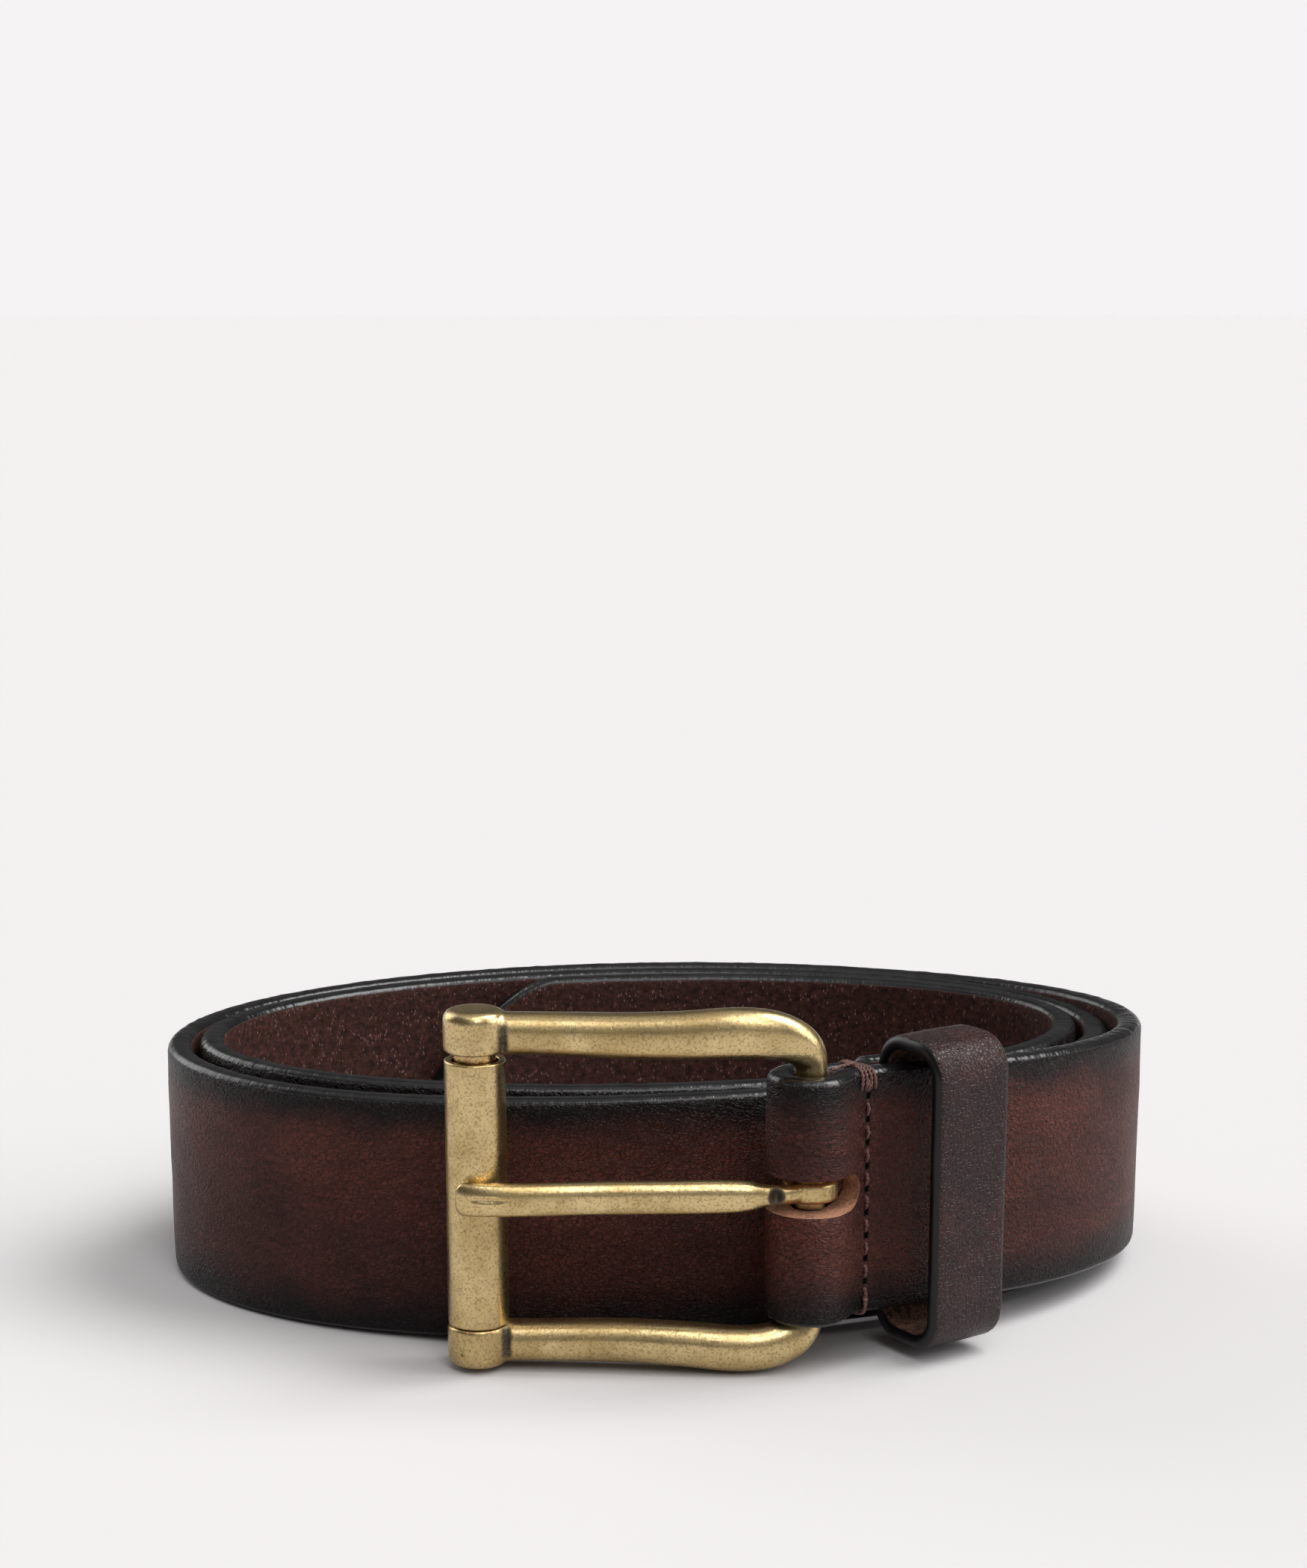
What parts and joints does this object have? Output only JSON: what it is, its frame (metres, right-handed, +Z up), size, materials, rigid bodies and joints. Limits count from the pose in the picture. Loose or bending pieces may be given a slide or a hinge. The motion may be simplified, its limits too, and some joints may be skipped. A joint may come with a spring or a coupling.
{
  "type": "leather belt",
  "caption": "Coiled leather belt standing on edge, with a swinging brass roller buckle, a prong, a leather keeper loop and a curved point.",
  "frame": {"origin": "centre of the bounding box in plan, on the surface that the belt stands on", "axes": "+Z up, -Y to the front where the buckle is, +X to the right along the longest side"},
  "size_m": [0.1614, 0.1202, 0.0556],
  "materials": {
    "strap_leather": "burnished dark brown with blackened edges",
    "keeper_leather": "glossy dark brown",
    "thread": "waxed red-brown thread",
    "staple_wire": "plain wire",
    "antique_brass": "antiqued, satin",
    "pin_brass": "bright drawn rod"
  },
  "bodies": {
    "strap": {"strap": "strap_leather", "stitch_row_at_fold": "thread", "stitch_row_past_keeper": "thread"},
    "keeper": {"keeper_loop": "keeper_leather", "keeper_staple": "staple_wire"},
    "buckle": {"buckle_frame": "antique_brass", "roller_pin": "pin_brass"},
    "roller": {"roller": "antique_brass"},
    "prong": {"prong": "antique_brass"}
  },
  "joints": [
    {"name": "buckle_swing", "type": "hinge", "parent": "strap", "child": "buckle", "pos_m": [0.02269, -0.05214, 0.0279], "axis": [0, 0, 1], "range_deg": [-2, 45]},
    {"name": "prong_swing", "type": "hinge", "parent": "buckle", "child": "prong", "pos_m": [0.02269, -0.05214, 0.0279], "axis": [0, 0, 1], "range_deg": [0, 85]},
    {"name": "roller_spin", "type": "hinge", "parent": "buckle", "child": "roller", "pos_m": [-0.02681, -0.05214, 0.0279], "axis": [0, 0, 1], "continuous": true},
    {"name": "keeper_slide", "type": "slide", "parent": "strap", "child": "keeper", "axis": [0.8216, 0.5701, 0], "range_m": [-0.0015, 0.001]}
  ]
}
